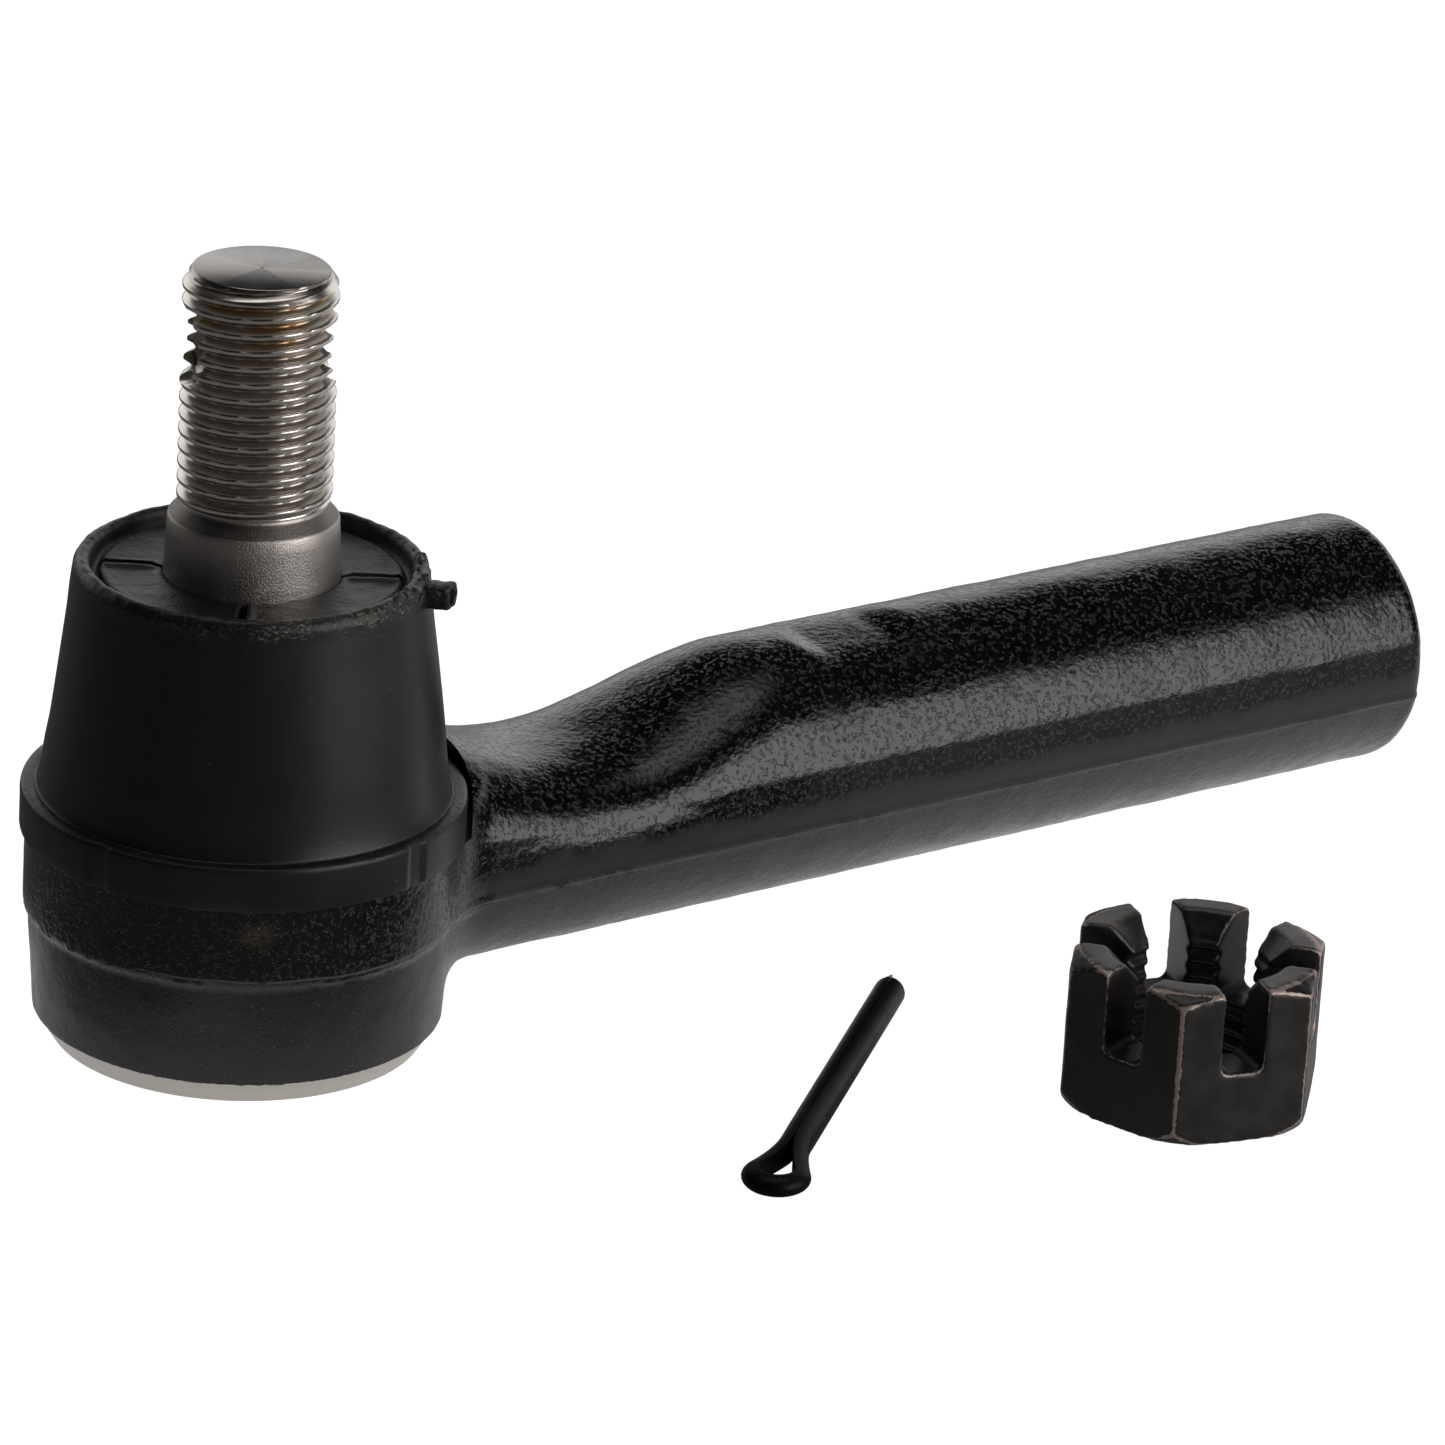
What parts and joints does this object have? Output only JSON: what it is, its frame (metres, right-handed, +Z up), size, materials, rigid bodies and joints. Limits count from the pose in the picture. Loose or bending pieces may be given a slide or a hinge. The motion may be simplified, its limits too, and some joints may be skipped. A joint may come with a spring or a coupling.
{
  "type": "tie rod end",
  "caption": "Outer tie rod end: ball stud in a forged socket with a tapped shank, dust boot, slotted nut and split pin.",
  "frame": {"origin": "centre of the closing plug's outer face, on the ball stud's axis", "axes": "+Z up the ball stud, +X along the shank towards its tapped end"},
  "size_m": [0.149, 0.0862, 0.0726],
  "materials": {
    "painted_forging": "gloss black paint over a forged surface",
    "plug_steel": "black paint over pressed steel",
    "spring_steel": "bare spring steel",
    "seat_acetal": "natural acetal, greased",
    "stud_steel": "rolled and ground steel with an oil film",
    "ring_steel": "phosphated pressed steel",
    "boot_rubber": "semi-matte black rubber",
    "nut_steel": "black oxide, worn bright on its edges",
    "pin_steel": "satin black finish"
  },
  "bodies": {
    "socket": {"housing": "painted_forging", "closing_plug": "plug_steel", "dish_spring": "spring_steel", "lower_seat": "seat_acetal", "upper_seat": "seat_acetal", "boot_core_ring": "ring_steel", "boot_base": "boot_rubber"},
    "lean_carrier": {"boot_wall": "boot_rubber"},
    "crown": {"boot_crown": "boot_rubber", "boot_lip_ring": "ring_steel"},
    "stud": {"ball_stud": "stud_steel"},
    "nut": {"castle_nut": "nut_steel"},
    "pin": {"cotter_pin": "pin_steel"}
  },
  "joints": [
    {"name": "lean_fore_aft", "type": "hinge", "parent": "socket", "child": "lean_carrier", "pos_m": [0, 0, 0.0153], "axis": [0, 1, 0], "range_deg": [-18, 18], "deforming": ["boot_wall"]},
    {"name": "lean_sideways", "type": "hinge", "parent": "lean_carrier", "child": "crown", "pos_m": [0, 0, 0.0153], "axis": [1, 0, 0], "range_deg": [-18, 18]},
    {"name": "stud_turn", "type": "hinge", "parent": "crown", "child": "stud", "pos_m": [0, 0, 0.0153], "axis": [0, 0, 1], "continuous": true},
    {"name": "nut_lift", "type": "slide", "parent": "socket", "child": "nut", "axis": [0, 0, 1], "range_m": [0, 0.08]},
    {"name": "pin_lift", "type": "slide", "parent": "socket", "child": "pin", "axis": [0, 0, 1], "range_m": [0, 0.08]}
  ]
}
